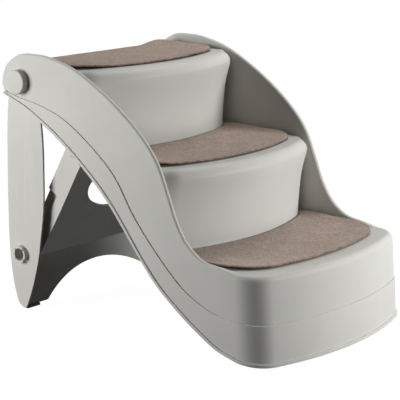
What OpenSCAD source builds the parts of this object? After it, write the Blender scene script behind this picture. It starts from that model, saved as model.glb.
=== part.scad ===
// Folding pet stairs: a moulded three-tread shell with a swing-down rear leg and its brace.
// Lengths are in millimetres. Places along the stairs are measured from the rear end of the
// side walls, and at_centre() then moves the whole model so that its origin lies on the floor
// under the middle of the object. +X points down the stairs, +Y to the left side, +Z up.

/* [Overall] */
// Length on the floor, from the rear round ends to the lip at the front
overall_l = 671; // [600:1:760]
// Height to the top of the side walls
overall_h = 508; // [470:1:540]
// Width over the outer faces of the two side walls
body_w = 457; // [420:1:500]

/* [Side walls] */
// Thickness of a side wall above the treads
side_t = 9; // [7:0.5:12]
// Thickness of the moulded skin everywhere else
skin_t = 4; // [3:0.25:5]
// How far the lower band stands out from the side wall
band_out = 2; // [1:0.25:3]
// How far the lip stands out from the band
lip_out = 2; // [1:0.25:3]
// Height of the lip
lip_h = 9; // [6:0.5:14]
// Gap between the lip and the floor, taken up by the rubber feet
lip_lift = 1; // [0.5:0.25:3]

/* [Treads] */
// Height of the bottom tread's top face
tread_bottom_z = 165.5; // [155:0.5:172]
// Rise from one tread to the next
rise = 158.5; // [150:0.5:162]
// Run from the middle nose to the top nose
run = 196; // [180:1:205]
// Distance of the middle tread's nose from the rear end
middle_nose_x = 461; // [440:1:480]
// Distance of the bottom tread's nose from the rear end
bottom_nose_x = 647; // [630:1:660]
// Radius of the two upper fronts, seen from above
riser_arc_r = 480; // [400:5:700]
// Radius of the bottom front, seen from above
front_arc_r = 600; // [500:5:900]
// Corner radius of the two upper blocks, seen from above
block_corner_r = 60; // [50:1:70]
// Corner radius of the bottom block, seen from above
front_corner_r = 56; // [45:1:70]
// Radius of the rounded nosing
nose_r = 26; // [18:1:32]
// Lean of the risers from the vertical
riser_lean = 8; // [0:0.5:10]
// Radius of the cove at the foot of a riser
cove_r = 8; // [4:0.5:12]

/* [Mats] */
// Thickness of a tread mat
mat_t = 4; // [3:0.5:7]
// Distance from the nose to the front edge of the two upper mats
mat_setback = 50; // [40:1:60]
// The same distance on the bottom tread
bottom_mat_setback = 30; // [25:1:45]
// Corner radius of a mat
mat_corner_r = 26; // [15:1:40]
// Gap between a mat and the side walls
mat_side_gap = 4; // [2:0.5:8]
// Thickness of a hook-and-loop patch
grip_t = 1.2; // [0.8:0.1:1.8]
// Length of a patch
grip_l = 50; // [35:1:60]
// Width of a patch
grip_w = 20; // [15:1:26]

/* [Rear hinge] */
// Distance of the hinge from the rear end
hinge_x = 50; // [46:0.5:56]
// Height of the hinge
hinge_z = 453; // [448:0.5:456]
// Diameter of the outer cap
cap_d = 47.5; // [42:0.5:52]
// How far the cap stands out from the side wall
cap_out = 14; // [8:0.5:18]
// Diameter of the hinge pin
pin_d = 22; // [16:0.5:26]
// Clearance between a pin and its bore, on the radius
pin_gap = 0.08; // [0.02:0.01:0.1]

/* [Rear leg] */
// Distance of the leg's outer faces from the wall's inner skin
leg_side_gap = 3; // [2:0.25:4]
// Thickness of the leg's blades and web
leg_t = 4; // [3:0.25:5]
// Radius of the blade's round top
leg_top_r = 24; // [18:0.5:24]
// Height of the web's top edge
web_top_z = 155; // [145:1:190]
// Radius of the arch between the feet
arch_r = 258; // [235:1:280]
// Height of the arch in the middle
arch_h = 56; // [45:1:65]
// Height of a rubber foot
foot_h = 5; // [4:0.5:8]

/* [Brace] */
// Distance of the brace pivot from the rear end
pivot_x = 36; // [34:0.5:38]
// Height of the brace pivot
pivot_z = 111; // [105:0.5:118]
// Angle of the opened brace from the floor
brace_a = 60; // [58:0.5:61]
// Length of the brace from its pivot to its top edge
brace_l = 265; // [255:1:266]
// Thickness of the brace
brace_t = 4; // [3:0.25:5]
// Width over the brace's side flanges
brace_w = 410; // [396:1:412]
// Distance of the brace's front face from the pivot line
brace_front = 32; // [28:0.5:34]
// Distance of the flanges' rear edge behind the pivot line
brace_rear = 15; // [10:0.5:16]
// Outer radius of the split snap boss
snap_r = 16.5; // [14:0.25:17]
// Bore radius of the split snap boss
snap_bore_r = 12.5; // [9:0.25:13]
// How far the snap boss stands out of the leg
snap_out = 8; // [5:0.5:10]

/* [Hidden] */
$fn = 64;

plastic = [0.80, 0.80, 0.77];
carpet = [0.55, 0.48, 0.43];
dark_grey = [0.30, 0.30, 0.30];

// Overrun of a cut past the face that it opens
cut = 1;
// Gap between pieces that move past each other, and under the loose mats
gap = 0.3;

half_w = body_w / 2;
wall_in = half_w - side_t;
skin_in = half_w - skin_t;
tread_middle_z = tread_bottom_z + rise;
tread_top_z = tread_middle_z + rise;
top_nose_x = middle_nose_x - run;
// The rear flange hangs from the back edge of the top tread
rear_flange_x = 14;
rear_flange_h = 40;

// Side view: shares of the overall length and height, from the rear top round the front
rear_end_shares = [[0.012, 0.839], [0, 0.884], [0.012, 0.936], [0.034, 0.967], [0.080, 0.996], [0.134, 1]];
rim_shares = [[0.186, 0.996], [0.270, 0.970], [0.338, 0.931], [0.431, 0.860], [0.523, 0.768],
    [0.588, 0.672], [0.629, 0.555], [0.655, 0.472], [0.691, 0.400], [0.742, 0.352], [0.800, 0.329]];
low_edge_shares = [[0.800, 0.043], [0.745, 0.081], [0.690, 0.126], [0.632, 0.181],
    [0.583, 0.236], [0.532, 0.310], [0.485, 0.386], [0.430, 0.473], [0.373, 0.549], [0.305, 0.623],
    [0.231, 0.694], [0.153, 0.756], [0.080, 0.806]];
crease_shares = [[0.014, 0.850], [0.080, 0.831], [0.165, 0.810], [0.247, 0.774], [0.339, 0.702], [0.436, 0.596],
    [0.508, 0.460], [0.598, 0.330], [0.688, 0.229], [0.783, 0.174]];
// Side view of a leg blade: shares of the hinge's distance and height
blade_rear_shares = [[0.20, 0.912], [0.10, 0.795], [0.05, 0.618], [0.02, 0.440], [0.03, 0.320], [0.08, 0.219],
    [0.20, 0.124], [0.34, 0.066], [0.50, 0.022]];
blade_front_shares = [[0.84, 0.004], [1.04, 0.040], [1.24, 0.093], [1.44, 0.157], [1.66, 0.245], [1.78, 0.322],
    [1.92, 0.413], [2.00, 0.508], [2.02, 0.647], [2.00, 0.762], [1.92, 0.860]];
web_shares = [[0.72, 0], [0.54, 0.066], [0.38, 0.124], [0.24, 0.219], [0.22, 0.320]];

// Points on a smooth curve through the given points, steps to each stretch
function spline(p, steps) = [for (i = [0 : len(p) - 2]) for (j = [0 : steps - 1])
    spline_point(p[max(i - 1, 0)], p[i], p[i + 1], p[min(i + 2, len(p) - 1)], j / steps), p[len(p) - 1]];
function spline_point(a, b, c, d, t) =
    (2 * b + (c - a) * t + (2 * a - 5 * b + 4 * c - d) * t * t + (3 * b - a - 3 * c + d) * t * t * t) / 2;
function scaled(shares, l, h) = [for (s = shares) [s[0] * l, s[1] * h]];
function reversed(p) = [for (i = [len(p) - 1 : -1 : 0]) p[i]];

// Moves a piece from the rear end's measure to the origin under the middle
module at_centre() {
    translate([-overall_l / 2, 0, 0]) children();
}

// A shape drawn in side view (x, z), as a plate from y0 to y1
module side_plate(y0, y1) {
    translate([0, y1, 0]) rotate([90, 0, 0]) linear_extrude(y1 - y0) children();
}

// The same plate on both sides of the stairs
module both_sides() {
    children();
    mirror([0, 1, 0]) children();
}

// A block seen from above, counter-clockwise: straight sides, round corners, shallow front arc
arc_steps = 10;
corner_steps = 5;
function corner_y(w, corner) = w - corner;
function corner_x(nose_x, w, corner, arc) =
    nose_x - arc + sqrt(pow(arc - corner, 2) - pow(corner_y(w, corner), 2));
function corner_turn(w, corner, arc) = asin(corner_y(w, corner) / (arc - corner));
function arc_points(x, y, r, a0, a1, steps) =
    [for (i = [0 : steps]) let (a = a0 + (a1 - a0) * i / steps) [x + r * cos(a), y + r * sin(a)]];
function inner_points(p) = [for (i = [1 : len(p) - 2]) p[i]];
function block_outline(nose_x, w, corner, arc, rear_x) =
    let (cx = corner_x(nose_x, w, corner, arc), cy = corner_y(w, corner), turn = corner_turn(w, corner, arc))
    concat([[rear_x, -w]], arc_points(cx, -cy, corner, -90, -turn, corner_steps),
        inner_points(arc_points(nose_x - arc, 0, arc, -turn, turn, arc_steps)),
        arc_points(cx, cy, corner, turn, 90, corner_steps), [[rear_x, w]]);
function ring_at(outline, z) = [for (p = outline) [p[0], p[1], z]];

// A solid skinned over rings of equally many points, from the bottom up
module loft(rings) {
    n = len(rings[0]);
    last = len(rings) - 1;
    polyhedron(points = [for (r = rings) each r], faces = concat(
        [[for (i = [0 : n - 1]) i]], [[for (i = [n - 1 : -1 : 0]) last * n + i]],
        [for (k = [0 : last - 1]) for (i = [0 : n - 1]) each let (j = (i + 1) % n, a = k * n, b = a + n)
            [[a + i, b + i, b + j], [a + i, b + j, a + j]]]));
}

// An upper tread's front: the riser leans back to a cove at its foot, under a round nosing.
// inset makes the hollow inside it.
nose_steps = 5;
cove_steps = 3;
block_w = skin_in - cut / 2;

function upper_ring(nose_x, inset, back, z) =
    let (w = block_w - max(inset, 0), corner = block_corner_r - inset, arc = riser_arc_r - inset)
    ring_at(block_outline(nose_x - inset - back, w, corner, arc, nose_x - block_depth), z);
function lean_back(top, z) = (top - nose_r - z) * tan(riser_lean);
block_depth = 118;

module upper_front(nose_x, top, inset) {
    foot = top - rise;
    knee = top - nose_r;
    foot_rings = inset > 0 ? [upper_ring(nose_x, inset, lean_back(top, foot), foot - skin_t - cut)] :
        concat([upper_ring(nose_x, -cove_r, lean_back(top, foot), foot - skin_t / 2)],
            [for (i = [0 : cove_steps - 1]) let (a = 90 * i / cove_steps, z = foot + cove_r * (1 - cos(a)))
                upper_ring(nose_x, -cove_r * (1 - sin(a)), lean_back(top, z), z)]);
    loft(concat(foot_rings, [for (i = [0 : nose_steps]) let (a = 90 * i / nose_steps)
        upper_ring(nose_x, inset + (nose_r - inset) * (1 - cos(a)), 0, knee + (nose_r - inset) * sin(a))]));
}

// The bottom front slopes out to a band and a lip, whose foot is the front end of the stairs
front_slope = atan2(overall_l - lip_out - band_out - bottom_nose_x, tread_bottom_z - nose_r - lip_lift);
function bottom_ring(grow, z) = let (out = max(0, tread_bottom_z - nose_r - z) * tan(front_slope))
    ring_at(block_outline(bottom_nose_x + out + grow, half_w + grow, front_corner_r + grow,
        front_arc_r + grow, wall_end_x - cut), z);
function bottom_nose_rings(inset) = [for (i = [0 : nose_steps]) let (a = 90 * i / nose_steps)
    bottom_ring(-inset - (nose_r - inset) * (1 - cos(a)), tread_bottom_z - nose_r + (nose_r - inset) * sin(a))];

module bottom_front() {
    loft(concat([bottom_ring(band_out + lip_out, lip_lift), bottom_ring(band_out + lip_out, lip_lift + lip_h),
        bottom_ring(band_out, lip_lift + lip_h), bottom_ring(band_out, band_top_z),
        bottom_ring(0, band_top_z)], bottom_nose_rings(0)));
}

module bottom_hollow() {
    loft(concat([bottom_ring(-skin_t, -cut)], bottom_nose_rings(skin_t)));
    hollow_box(wall_end_x, skin_in, tread_bottom_z - nose_r);
    hollow_box(wall_end_x - nose_r, skin_in, tread_bottom_z - skin_t);
    hollow_box(wall_end_x, half_w - nose_r, tread_bottom_z - skin_t);
}

// The bottom tread's rounded side edges, just behind the round corners
module bottom_shoulders() {
    edge = [for (i = [0 : nose_steps]) let (a = 90 * i / nose_steps)
        [half_w - nose_r * (1 - cos(a)), tread_bottom_z - nose_r * (1 - sin(a))]];
    translate([wall_end_x - nose_r, 0, 0]) rotate([90, 0, 90]) linear_extrude(nose_r + cut)
        polygon(concat(edge, [for (p = reversed(edge)) [-p[0], p[1]]]));
}

// A tread's flat, between the walls
module tread_slab(x0, x1, top) {
    translate([x0, -wall_in - cut, top - skin_t]) cube([x1 - x0, 2 * (wall_in + cut), skin_t]);
}

// A stretch of the hollow under the treads, open to the floor
module hollow_box(end_x, w, top) {
    translate([rear_flange_x + skin_t, -w, -cut]) cube([end_x - rear_flange_x - skin_t, 2 * w, top + cut]);
}

// The hollow under an upper tread; below the nosing it reaches on to where the riser leaves the wall
module tread_hollow(nose_x, top) {
    upper_front(nose_x, top, skin_t);
    hollow_box(shoulder_x(nose_x) - lean_back(top, top - rise) + shoulder_reach - skin_t, skin_in, top - nose_r);
    hollow_box(shoulder_x(nose_x) - skin_t, skin_in, top - skin_t);
}
function shoulder_x(nose_x) = corner_x(nose_x, block_w, block_corner_r, riser_arc_r);
shoulder_reach = sqrt(pow(block_corner_r, 2) - pow(wall_in - corner_y(block_w, block_corner_r), 2));

// The shoulder that closes a nosing against the walls, behind its round corners
module shoulder(nose_x, top) {
    translate([shoulder_x(nose_x) - skin_t, -wall_in - cut, top - nose_r])
        cube([skin_t, 2 * (wall_in + cut), nose_r]);
}

// Side wall plates stop where the bottom block's corners begin
wall_end_x = corner_x(bottom_nose_x, half_w, front_corner_r, front_arc_r);
band_top_z = tread_bottom_z / 2;
rim_end_z = tread_bottom_z - nose_r + sqrt(pow(nose_r, 2) - pow(nose_r - side_t, 2));
curve_steps = 4;
rear_end = scaled(rear_end_shares, overall_l, overall_h);
rim = spline(concat(rear_end, scaled(rim_shares, overall_l, overall_h), [[wall_end_x, rim_end_z]]), curve_steps);
low_edge = spline(concat([[wall_end_x, lip_lift]], scaled(low_edge_shares, overall_l, overall_h)), curve_steps);
crease = spline(concat(scaled(crease_shares, overall_l, overall_h), [[wall_end_x, band_top_z]]), curve_steps);

module side_wall() {
    side_plate(wall_in, half_w) polygon(concat(rim, low_edge));
}

module side_band() {
    side_plate(half_w - skin_t / 2, half_w + band_out) polygon(concat(crease, low_edge));
}

module side_lip() {
    raised = [for (p = low_edge) [p[0], p[1] + lip_h]];
    side_plate(half_w - skin_t / 2, half_w + band_out + lip_out) polygon(concat(reversed(raised), low_edge));
}

// Stiffening ribs under a tread
rib_t = 3;
rib_h = 9;
rib_pitch = body_w / 5;
// The outermost ones stop short of the rounded corners
outer_rib_back = block_corner_r * 2 / 5;

module tread_ribs(x0, x1, under_z) {
    for (i = [-2 : 2]) translate([x0, i * rib_pitch - rib_t / 2, under_z - rib_h])
        cube([x1 - x0 - (abs(i) > 1 ? outer_rib_back : 0), rib_t, rib_h + skin_t / 2]);
    translate([(x0 + x1 - rib_t) / 2, -wall_in, under_z - rib_h])
        cube([rib_t, 2 * wall_in, rib_h + skin_t / 2]);
}

// The ledge behind the top riser that the brace's top edge drops on to, with its ribs
keeper_w = 240;
keeper_rib_h = 14;
keeper_top_z = tread_middle_z - skin_t + cut / 2;
keeper_rear_x = brace_face_x(keeper_top_z) + gap / sin(brace_a);
keeper_front_reach = 10;
keeper_front_x = top_nose_x - keeper_front_reach;
// Front face of the opened brace at the height z
function brace_face_x(z) = pivot_x + (brace_front + (z - pivot_z) * cos(brace_a)) / sin(brace_a);

module keeper() {
    translate([keeper_rear_x, -keeper_w / 2, keeper_top_z - skin_t])
        cube([keeper_front_x - keeper_rear_x, keeper_w, skin_t]);
    for (i = [-1 : 1]) translate([keeper_rear_x, i * rib_pitch - rib_t / 2, keeper_top_z - keeper_rib_h])
        cube([keeper_front_x - keeper_rear_x, rib_t, keeper_rib_h - skin_t / 2]);
}

// Shelves inside the front skirt that carry the rubber feet
front_foot_l = 34;
front_foot_w = 26;
front_foot_h = 5;
front_foot_ys = [half_w / 4, half_w - front_corner_r];
// Inner face of the skirt near the floor, at the side y
function skirt_x(y) = bottom_nose_x + (tread_bottom_z - nose_r - front_foot_h - skin_t) * tan(front_slope)
    - skin_t - (front_arc_r - sqrt(pow(front_arc_r, 2) - pow(y, 2)));
function front_foot_x(y) = skirt_x(y + front_foot_l / 2) - front_foot_w - skin_t;

module foot_pads() {
    both_sides() for (y = front_foot_ys) translate([front_foot_x(y), y - front_foot_l / 2, front_foot_h])
        cube([skirt_x(y - front_foot_l / 2) + skin_t / 2 - front_foot_x(y), front_foot_l, skin_t]);
}

module stair_shell() color(plastic) at_centre() {
    difference() {
        union() {
            difference() {
                union() {
                    both_sides() {
                        side_wall();
                        side_band();
                        side_lip();
                    }
                    bottom_front();
                    bottom_shoulders();
                    upper_front(middle_nose_x, tread_middle_z, 0);
                    upper_front(top_nose_x, tread_top_z, 0);
                    tread_slab(middle_nose_x - block_depth, wall_end_x - nose_r + cut, tread_bottom_z);
                    tread_slab(top_nose_x - block_depth, shoulder_x(middle_nose_x), tread_middle_z);
                    tread_slab(rear_flange_x, shoulder_x(top_nose_x), tread_top_z);
                    shoulder(middle_nose_x, tread_middle_z);
                    shoulder(top_nose_x, tread_top_z);
                    translate([rear_flange_x, -wall_in - cut, tread_top_z - rear_flange_h])
                        cube([skin_t, 2 * (wall_in + cut), rear_flange_h - skin_t / 2]);
                }
                bottom_hollow();
                tread_hollow(middle_nose_x, tread_middle_z);
                tread_hollow(top_nose_x, tread_top_z);
                // Open at the rear, below the flange
                translate([-cut, -skin_in, -cut])
                    cube([rear_flange_x + skin_t + 2 * cut, 2 * skin_in, tread_top_z - rear_flange_h + cut]);
            }
            tread_ribs(top_nose_x + skin_t, middle_nose_x - nose_r - 2 * skin_t, tread_middle_z - skin_t);
            tread_ribs(middle_nose_x + skin_t, bottom_nose_x - nose_r - 2 * skin_t, tread_bottom_z - skin_t);
            tread_ribs(rear_flange_x + skin_t / 2, top_nose_x - nose_r - 2 * skin_t, tread_top_z - skin_t);
            keeper();
            foot_pads();
        }
        // Bores of the rear hinge, right through both walls
        translate([hinge_x, 0, hinge_z]) rotate([90, 0, 0])
            cylinder(h = body_w + 2 * cut, r = pin_d / 2 + pin_gap, center = true);
    }
}

// Outline of a mat from above: it follows the nose, and the riser behind it
mat_lift = grip_t + gap;
mat_rear_gap = 1.6;
mat_w = wall_in - mat_side_gap;
// The rear edge's distance from the riser, where the mat's underside comes to the cove
mat_rear_x = cove_r - sqrt(pow(cove_r, 2) - pow(cove_r - mat_lift, 2)) + mat_rear_gap;

module mat_plate(front_x, arc, rear_x) {
    linear_extrude(mat_t) polygon(block_outline(front_x, mat_w, mat_corner_r, arc, rear_x));
}

// A mat, cut out behind along the riser that stands on the same tread
module tread_mat(front_x, arc, tread_z, riser_nose_x) {
    foot_x = riser_nose_x - lean_back(tread_z + rise, tread_z) + mat_rear_x;
    corner = block_corner_r + mat_rear_x;
    color(carpet) at_centre() translate([0, 0, tread_z + mat_lift]) difference() {
        mat_plate(front_x, arc, corner_x(foot_x, block_w, corner, riser_arc_r) + corner / 2);
        translate([0, 0, -cut]) linear_extrude(mat_t + 2 * cut)
            polygon(block_outline(foot_x, block_w, corner, riser_arc_r, 0));
    }
}

module tread_mat_bottom() {
    tread_mat(bottom_nose_x - bottom_mat_setback, front_arc_r, tread_bottom_z, middle_nose_x);
}

module tread_mat_middle() {
    tread_mat(middle_nose_x - mat_setback, riser_arc_r, tread_middle_z, top_nose_x);
}

mat_top_rear_x = 20;

module tread_mat_top() color(carpet) at_centre() translate([0, 0, tread_top_z + mat_lift])
    mat_plate(top_nose_x - mat_setback, riser_arc_r, mat_top_rear_x);

// Four hook-and-loop patches under a mat whose front edge is at front_x
grip_pitch_x = 90;
grip_pitch_y = 200;
grip_edge = 20;

module mat_grips(front_x, tread_z) color(dark_grey) at_centre()
    for (x = [0, grip_pitch_x], s = [-1, 1])
        translate([front_x - grip_edge - grip_w - x, s * grip_pitch_y / 2 - grip_l / 2, tread_z])
            cube([grip_w, grip_l, grip_t]);

module mat_grips_bottom() mat_grips(bottom_nose_x - bottom_mat_setback, tread_bottom_z);
module mat_grips_middle() mat_grips(middle_nose_x - mat_setback, tread_middle_z);
module mat_grips_top() mat_grips(top_nose_x - mat_setback, tread_top_z);

// Across the hinge, from the outside in: cap, wall, washer, leg blade, retainer
leg_out_y = skin_in - leg_side_gap;
leg_in_y = leg_out_y - leg_t;
hinge_boss_t = 4;
hinge_boss_r = 19;
retainer_t = 2.5;
retainer_r = 17;
cap_edge_r = 2.5;
retainer_y = leg_in_y - hinge_boss_t - gap - retainer_t;
pin_end_y = retainer_y - retainer_t / 2;

// A turned piece on the hinge or pivot axis: its section is drawn as (radius, y)
module on_axis(x, z) {
    translate([x, 0, z]) rotate([-90, 0, 0]) rotate_extrude($fn = 96) children();
}

module hinge_cap() color(plastic) at_centre() on_axis(hinge_x, hinge_z) difference() {
    union() {
        translate([0, half_w]) square([cap_d / 2 - cap_edge_r, cap_out]);
        translate([0, half_w]) square([cap_d / 2, cap_out - cap_edge_r]);
        translate([cap_d / 2 - cap_edge_r, half_w + cap_out - cap_edge_r]) circle(cap_edge_r);
        translate([0, pin_end_y]) square([pin_d / 2, half_w - pin_end_y + cut]);
    }
    // The pin is cored out from its inner end
    translate([0, pin_end_y - cut]) square([pin_d / 2 - skin_t, half_w - pin_end_y + cut]);
}

module hinge_cap_left() hinge_cap();
module hinge_cap_right() mirror([0, 1, 0]) hinge_cap();

module ring(x, z, y, t, r_out, r_in) {
    on_axis(x, z) translate([r_in, y]) square([r_out - r_in, t]);
}

module hinge_washer() color(dark_grey) at_centre()
    ring(hinge_x, hinge_z, leg_out_y + gap, leg_side_gap - 2 * gap, hinge_boss_r, pin_d / 2 + pin_gap);

module hinge_washer_left() hinge_washer();
module hinge_washer_right() mirror([0, 1, 0]) hinge_washer();

module hinge_retainer() color(dark_grey) at_centre()
    ring(hinge_x, hinge_z, retainer_y, retainer_t, retainer_r, pin_d / 2 + pin_gap);

module hinge_retainer_left() hinge_retainer();
module hinge_retainer_right() mirror([0, 1, 0]) hinge_retainer();

// Four rubber feet under the shell
module front_feet() color(dark_grey) at_centre() both_sides() for (y = front_foot_ys)
    translate([front_foot_x(y), y - front_foot_l / 2, 0]) cube([front_foot_w, front_foot_l, front_foot_h]);

// Outline of one leg blade, from the rear of its round top, down the back and up the front
top_turn = 20;
blade_outline = concat(
    [for (a = [0 : 1 : 8]) [hinge_x - leg_top_r * cos(a * top_turn), hinge_z + leg_top_r * sin(a * top_turn)]],
    reversed(spline(concat(scaled(blade_rear_shares, hinge_x, hinge_z),
        scaled(blade_front_shares, hinge_x, hinge_z)), curve_steps)));

// Across the pivot: the snap boss goes out from the brace's ear through washer and blade
joggle = 6;
ear_out_y = brace_w / 2 - joggle;
pivot_washer_t = 1.4;
pivot_boss_y = ear_out_y + 2 * gap + pivot_washer_t;
pivot_boss_wall = 3;
pivot_boss_r = snap_r + pivot_boss_wall;
web_line = spline(scaled(web_shares, hinge_x, hinge_z), curve_steps);
web_top_x = web_line[len(web_line) - 1][0];
foot_inner_y = 184;
foot_l = 14;
foot_cover = 1.5;

module web_section() {
    polygon(concat(web_line, [[web_top_x, web_top_z]],
        [[web_top_x + leg_t, web_top_z]], [for (p = reversed(web_line)) [p[0] + leg_t, p[1]]]));
    // Rearward flange along the web's top edge
    translate([blade_rear_shares[3][0] * hinge_x + leg_t / 2, web_top_z - leg_t])
        square([web_top_x - leg_t / 2, leg_t]);
}

module rear_leg() color(plastic) at_centre() difference() {
    union() {
        both_sides() {
            side_plate(leg_in_y, leg_out_y) polygon(blade_outline);
            ring(hinge_x, hinge_z, leg_in_y - hinge_boss_t, hinge_boss_t + cut, hinge_boss_r, 0);
            ring(pivot_x, pivot_z, pivot_boss_y, leg_in_y - pivot_boss_y + cut, pivot_boss_r, 0);
        }
        side_plate(-leg_in_y - leg_t / 2, leg_in_y + leg_t / 2) web_section();
    }
    both_sides() {
        ring(hinge_x, hinge_z, leg_in_y - hinge_boss_t - cut, leg_t + hinge_boss_t + 2 * cut,
            pin_d / 2 + pin_gap, 0);
        ring(pivot_x, pivot_z, pivot_boss_y - cut, leg_out_y - pivot_boss_y + 2 * cut, snap_r + pin_gap, 0);
        // Seat of the rubber foot, and the step beside it
        translate([-cut, foot_inner_y, -cut]) cube([2 * pivot_x, leg_in_y - foot_inner_y, foot_h + cut]);
    }
    // The arch between the feet
    translate([-cut, 0, arch_h - arch_r]) rotate([0, 90, 0]) cylinder(h = 2 * pivot_x, r = arch_r, $fn = 128);
    translate([-cut, -foot_inner_y, -cut]) cube([2 * pivot_x, 2 * foot_inner_y, foot_h - foot_cover + cut]);
    translate([-cut, -half_w, -cut]) cube([2 * pivot_x, body_w, foot_cover + cut]);
}

module leg_foot() color(dark_grey) at_centre() {
    translate([web_line[0][0] + leg_t / 2 - foot_l / 2, foot_inner_y + gap, 0])
        cube([foot_l, leg_in_y - foot_inner_y - 2 * gap, foot_h]);
}

module leg_foot_left() leg_foot();
module leg_foot_right() mirror([0, 1, 0]) leg_foot();

// The brace is drawn flat: u runs up from the pivot, v forward of the pivot line
module brace_place() {
    at_centre() translate([pivot_x, 0, pivot_z]) rotate([0, 90 - brace_a, 0]) children();
}

// A flange shape drawn in (v, u), as a plate from y0 to y1
module flange_plate(y0, y1) {
    translate([0, y1, 0]) rotate([90, 0, 0]) linear_extrude(y1 - y0) children();
}

panel_foot_u = 15.5;
flange_top_u = 252;
flange_front_u = 238;
flange_cut_v = 10;
pocket_top_u = 155;
pocket_v = 10;
ear_r = 17.3;
panel_corner_r = 30;
hole_u = 181;
hole_half_w = 150;
hole_down = 76;
hole_up = 52;
// Two swages step the panel back towards the pivot; each sags from the panel's sides to its middle
swage_step = 1.6;
swage_mid_us = [106, 56];
swage_side_us = [131, 82];
swage_points = 24;

module ear_shape() {
    circle(ear_r);
    translate([-brace_rear, 0]) square([brace_rear + pocket_v + brace_t, pocket_top_u]);
}

pocket_r = pivot_boss_r + 2 * gap + pivot_boss_wall / 2;
module pocket_shape() {
    circle(pocket_r);
    translate([-brace_rear - cut, 0]) square([brace_rear + cut + pocket_v, pocket_top_u - brace_t]);
}

module flange_shape() {
    polygon([[-brace_rear, pocket_top_u - brace_t], [-brace_rear, flange_top_u], [flange_cut_v, flange_top_u],
        [brace_front, flange_front_u], [brace_front, swage_side_us[0]],
        [brace_front - len(swage_mid_us) * swage_step, panel_foot_u], [pocket_v, panel_foot_u],
        [pocket_v, pocket_top_u - brace_t]]);
}

// The hand opening, wider below its middle than above
module hand_hole() {
    polygon([for (a = [0 : 6 : 354]) [hole_u + (sin(a) < 0 ? hole_down : hole_up) * sin(a), hole_half_w * cos(a)]]);
}

module panel_shape() {
    difference() {
        union() {
            translate([panel_foot_u, -brace_w / 2])
                square([brace_l - panel_corner_r - panel_foot_u, brace_w]);
            translate([panel_foot_u, -brace_w / 2 + panel_corner_r])
                square([brace_l - panel_foot_u, brace_w - 2 * panel_corner_r]);
            for (s = [-1, 1]) translate([brace_l - panel_corner_r, s * (brace_w / 2 - panel_corner_r)])
                circle(panel_corner_r);
        }
        hand_hole();
    }
}

// A plate in the plane of the panel, from v0 to v1, drawn in (u, y)
module panel_plate(v0, v1) {
    translate([v0, 0, 0]) rotate([0, -90, 0]) mirror([0, 0, 1]) linear_extrude(v1 - v0) children();
}

snap_catch = 1.2;
snap_slit = 2.5;
snap_slit_turn = 13;

// The split boss, with a catch that snaps over the leg's outer face
module snap_boss() {
    boss_end_y = leg_out_y + snap_out;
    difference() {
        rotate([-90, 0, 0]) rotate_extrude($fn = 96) union() {
            translate([snap_bore_r, ear_out_y - brace_t])
                square([snap_r - snap_bore_r, boss_end_y - ear_out_y + brace_t]);
            polygon([[snap_r - snap_catch, leg_out_y + gap], [snap_r + snap_catch, leg_out_y + gap],
                [snap_r, boss_end_y], [snap_r - snap_catch, boss_end_y]]);
        }
        for (a = [snap_slit_turn, snap_slit_turn + 90]) rotate([0, a, 0])
            translate([-snap_r - snap_catch - cut, leg_in_y, -snap_slit / 2])
                cube([2 * (snap_r + snap_catch + cut), boss_end_y - leg_in_y + cut, snap_slit]);
    }
}

// The toe along the top edge, which lies on the keeper's ledge
toe_l = 12;

module toe() {
    tip = [pivot_x + brace_l * cos(brace_a) + brace_front * sin(brace_a),
        pivot_z + brace_l * sin(brace_a) - brace_front * cos(brace_a)];
    toe_z = keeper_top_z + gap;
    side_plate(-keeper_w / 2, keeper_w / 2) polygon([tip, [tip[0] - brace_t / 2, tip[1]],
        [brace_face_x(toe_z) - brace_t / 2, toe_z], [tip[0] + toe_l, toe_z], [tip[0] + toe_l, tip[1]]]);
}

// The part of the panel below one swage's line, raised by up
module below_swage(i, up) {
    polygon(concat([[0, -brace_w / 2], [0, brace_w / 2]],
        [for (k = [swage_points : -1 : 0]) let (share = 2 * k / swage_points - 1)
            [swage_mid_us[i] + (swage_side_us[i] - swage_mid_us[i]) * pow(share, 2) + up, share * brace_w / 2]]));
}

// One step of the panel, from the line above it to the line below it; it laps behind the step above
module panel_step(i) {
    back_v = brace_front - brace_t - i * swage_step;
    panel_plate(back_v, back_v + brace_t) difference() {
        intersection() {
            panel_shape();
            if (i == 0) square(2 * brace_w, center = true);
            else below_swage(i - 1, brace_t);
        }
        if (i < len(swage_mid_us)) below_swage(i, 0);
    }
}

module brace_panel() {
    for (i = [0 : len(swage_mid_us)]) panel_step(i);
}

module brace_sides() both_sides() {
    flange_plate(brace_w / 2 - brace_t, brace_w / 2) flange_shape();
    flange_plate(ear_out_y - brace_t, ear_out_y) ear_shape();
    // The joggle between ear and flange, round the pocket
    flange_plate(ear_out_y - brace_t, brace_w / 2) difference() {
        translate([-brace_rear, panel_foot_u])
            square([brace_rear + pocket_v + brace_t, pocket_top_u - panel_foot_u]);
        pocket_shape();
    }
}

module brace() color(plastic) union() {
    brace_place() {
        difference() {
            union() {
                brace_panel();
                brace_sides();
            }
            // Room for the leg's pivot boss, and the snap boss's own bore
            both_sides() {
                flange_plate(ear_out_y, brace_w / 2 + cut) circle(pocket_r);
                flange_plate(ear_out_y - brace_t - cut, ear_out_y + cut) circle(snap_bore_r);
            }
        }
        both_sides() snap_boss();
    }
    at_centre() toe();
}

module pivot_washer() color(dark_grey) at_centre()
    ring(pivot_x, pivot_z, ear_out_y + gap, pivot_washer_t, pivot_boss_r, snap_r + pin_gap);

module pivot_washer_left() pivot_washer();
module pivot_washer_right() mirror([0, 1, 0]) pivot_washer();

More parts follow.
